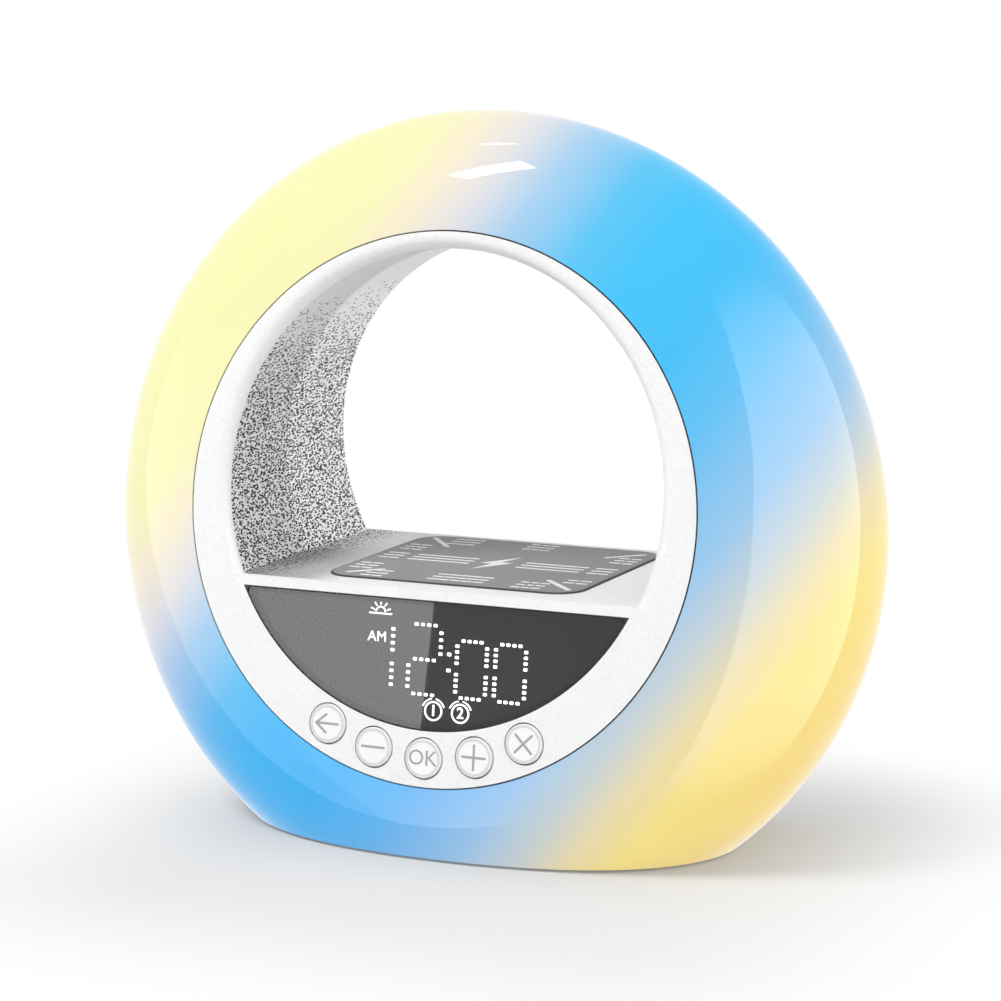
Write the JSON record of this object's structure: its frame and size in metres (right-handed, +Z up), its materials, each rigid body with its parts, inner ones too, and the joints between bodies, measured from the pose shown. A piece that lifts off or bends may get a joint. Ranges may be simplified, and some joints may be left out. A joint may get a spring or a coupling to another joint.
{
  "type": "sunrise alarm clock",
  "caption": "Ring-shaped bedside sunrise lamp with a through tunnel, a wireless charging shelf, a D-shaped digital clock display and push buttons.",
  "frame": {"origin": "middle of the foot on the table, under the middle of the ring", "axes": "+X to the right along the longest side, -Y towards the user (the front with the display), +Z up"},
  "size_m": [0.226, 0.0932, 0.2004],
  "materials": {
    "milky_shell": "milky white diffuser plastic, glossy, lit from inside in a soft colour gradient",
    "white_plastic": "matte white moulded plastic with a fine spark texture",
    "smoked_lens": "smoked acrylic lens, polished",
    "black_plastic": "matte black moulded plastic",
    "circuit_board": "green solder mask",
    "lit_segments": "white light-emitting segments",
    "grey_rubber": "mid grey soft-touch silicone, matte",
    "copper_wire": "enamelled copper winding",
    "ferrite": "dark sintered ferrite",
    "plated_steel": "bright plated steel",
    "black_rubber": "black rubber",
    "speaker_paper": "black pressed paper",
    "button_plastic": "matte white moulded plastic, printed with a grey ring and icon"
  },
  "bodies": {
    "case": {"diffuser": "milky_shell", "front_bezel": "white_plastic", "rear_cover": "white_plastic", "display_window": "smoked_lens", "light_box": "black_plastic", "display_board": "circuit_board", "display_pixels": "lit_segments", "tact_switches": "black_plastic", "button_board": "circuit_board", "light_frame": "white_plastic", "led_board": "circuit_board", "leds": "lit_segments", "charging_pad": "grey_rubber", "charge_coil": "copper_wire", "coil_ferrite": "ferrite", "coil_tray": "black_plastic", "charger_board": "circuit_board", "main_board": "circuit_board", "main_chips": "black_plastic", "speaker_frame": "plated_steel", "speaker_magnet": "ferrite", "speaker_surround": "black_rubber", "power_inlet": "black_plastic", "usb_port": "plated_steel", "base_plate": "white_plastic", "feet": "black_rubber", "battery_door": "white_plastic", "coin_cell": "plated_steel", "cell_holder": "black_plastic", "case_screws": "plated_steel", "base_screws": "plated_steel", "board_screws": "plated_steel"},
    "button_back": {"button_back": "button_plastic"},
    "button_minus": {"button_minus": "button_plastic"},
    "button_ok": {"button_ok": "button_plastic"},
    "button_plus": {"button_plus": "button_plastic"},
    "button_close": {"button_close": "button_plastic"},
    "speaker_cone": {"speaker_cone": "speaker_paper"}
  },
  "joints": [
    {"name": "button_back_press", "type": "slide", "parent": "case", "child": "button_back", "axis": [0, 0.9914, -0.1305], "range_m": [0, 0.0008], "stiffness_N_per_m": 400},
    {"name": "button_minus_press", "type": "slide", "parent": "case", "child": "button_minus", "axis": [0, 0.9914, -0.1305], "range_m": [0, 0.0008], "stiffness_N_per_m": 400},
    {"name": "button_ok_press", "type": "slide", "parent": "case", "child": "button_ok", "axis": [0, 0.9914, -0.1305], "range_m": [0, 0.0008], "stiffness_N_per_m": 400},
    {"name": "button_plus_press", "type": "slide", "parent": "case", "child": "button_plus", "axis": [0, 0.9914, -0.1305], "range_m": [0, 0.0008], "stiffness_N_per_m": 400},
    {"name": "button_close_press", "type": "slide", "parent": "case", "child": "button_close", "axis": [0, 0.9914, -0.1305], "range_m": [0, 0.0008], "stiffness_N_per_m": 400},
    {"name": "speaker_cone_stroke", "type": "slide", "parent": "case", "child": "speaker_cone", "axis": [0, 0.9914, 0.1305], "range_m": [-0.0008, 0.0008], "stiffness_N_per_m": 1000}
  ]
}
